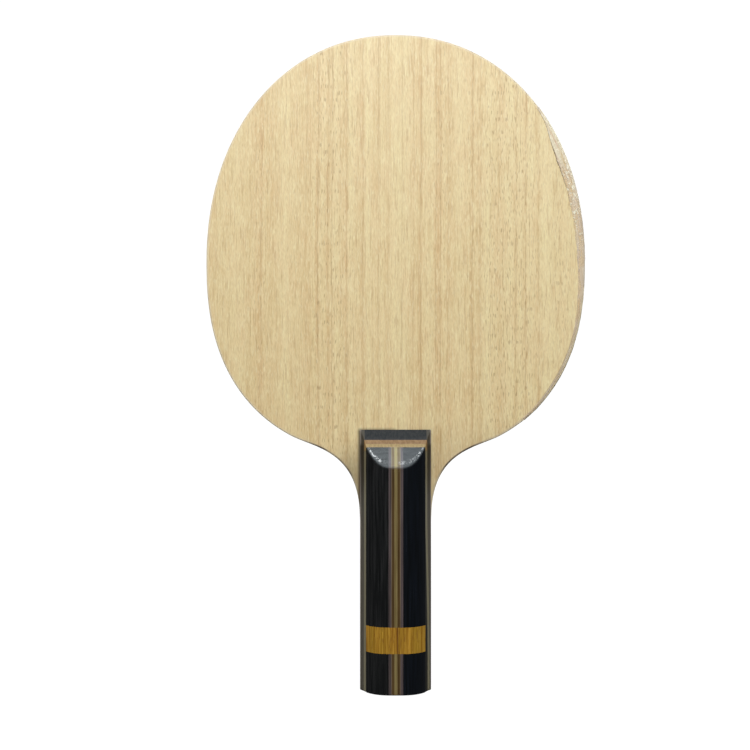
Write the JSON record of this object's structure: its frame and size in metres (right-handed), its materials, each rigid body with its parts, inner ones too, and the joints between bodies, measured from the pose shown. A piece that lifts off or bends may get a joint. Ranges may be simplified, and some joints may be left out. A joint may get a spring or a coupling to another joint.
{
  "type": "table tennis blade",
  "caption": "Table tennis blade: oval wooden head of laminated plies with a straight handle of two striped scales, bevelled at the top and crossed by a gold band.",
  "frame": {"origin": "middle of the flat butt end, on the core's mid-plane", "axes": "+Z from the butt to the head's tip, -Y out of the front playing face, +X to the right as seen facing the front face"},
  "size_m": [0.1505, 0.0232, 0.26],
  "materials": {
    "kiri": "unfinished",
    "limba": "unfinished",
    "fibre_cloth": "woven fibre set in glue",
    "koto": "fine sanded, unvarnished",
    "dark_base": "dyed, satin varnish",
    "tan_veneer": "satin varnish",
    "cream_veneer": "satin varnish",
    "black_wood": "dyed, gloss varnish",
    "mauve_strip": "dyed, gloss varnish",
    "light_line": "gloss varnish",
    "brown_strip": "gloss varnish",
    "cream_strip": "gloss varnish",
    "gold_wood": "gloss varnish",
    "clear_film": "clear, crinkled"
  },
  "bodies": {
    "root": {"core_ply": "kiri", "front_inner_ply": "limba", "front_fibre_layer": "fibre_cloth", "front_outer_ply": "koto", "back_inner_ply": "limba", "back_fibre_layer": "fibre_cloth", "back_outer_ply": "koto", "front_base_layer": "dark_base", "front_tan_veneer": "tan_veneer", "front_cream_veneer": "cream_veneer", "front_gold_band": "gold_wood", "front_cream_strip_upper": "cream_strip", "front_left_brown_strip_upper": "brown_strip", "front_left_light_line_upper": "light_line", "front_left_mauve_strip_upper": "mauve_strip", "front_left_black_block_upper": "black_wood", "front_right_brown_strip_upper": "brown_strip", "front_right_light_line_upper": "light_line", "front_right_mauve_strip_upper": "mauve_strip", "front_right_black_block_upper": "black_wood", "front_cream_strip_lower": "cream_strip", "front_left_brown_strip_lower": "brown_strip", "front_left_light_line_lower": "light_line", "front_left_mauve_strip_lower": "mauve_strip", "front_left_black_block_lower": "black_wood", "front_right_brown_strip_lower": "brown_strip", "front_right_light_line_lower": "light_line", "front_right_mauve_strip_lower": "mauve_strip", "front_right_black_block_lower": "black_wood", "back_base_layer": "dark_base", "back_tan_veneer": "tan_veneer", "back_cream_veneer": "cream_veneer", "back_gold_band": "gold_wood", "back_cream_strip_upper": "cream_strip", "back_left_brown_strip_upper": "brown_strip", "back_left_light_line_upper": "light_line", "back_left_mauve_strip_upper": "mauve_strip", "back_left_black_block_upper": "black_wood", "back_right_brown_strip_upper": "brown_strip", "back_right_light_line_upper": "light_line", "back_right_mauve_strip_upper": "mauve_strip", "back_right_black_block_upper": "black_wood", "back_cream_strip_lower": "cream_strip", "back_left_brown_strip_lower": "brown_strip", "back_left_light_line_lower": "light_line", "back_left_mauve_strip_lower": "mauve_strip", "back_left_black_block_lower": "black_wood", "back_right_brown_strip_lower": "brown_strip", "back_right_light_line_lower": "light_line", "back_right_mauve_strip_lower": "mauve_strip", "back_right_black_block_lower": "black_wood", "rim_film": "clear_film"}
  },
  "joints": []
}
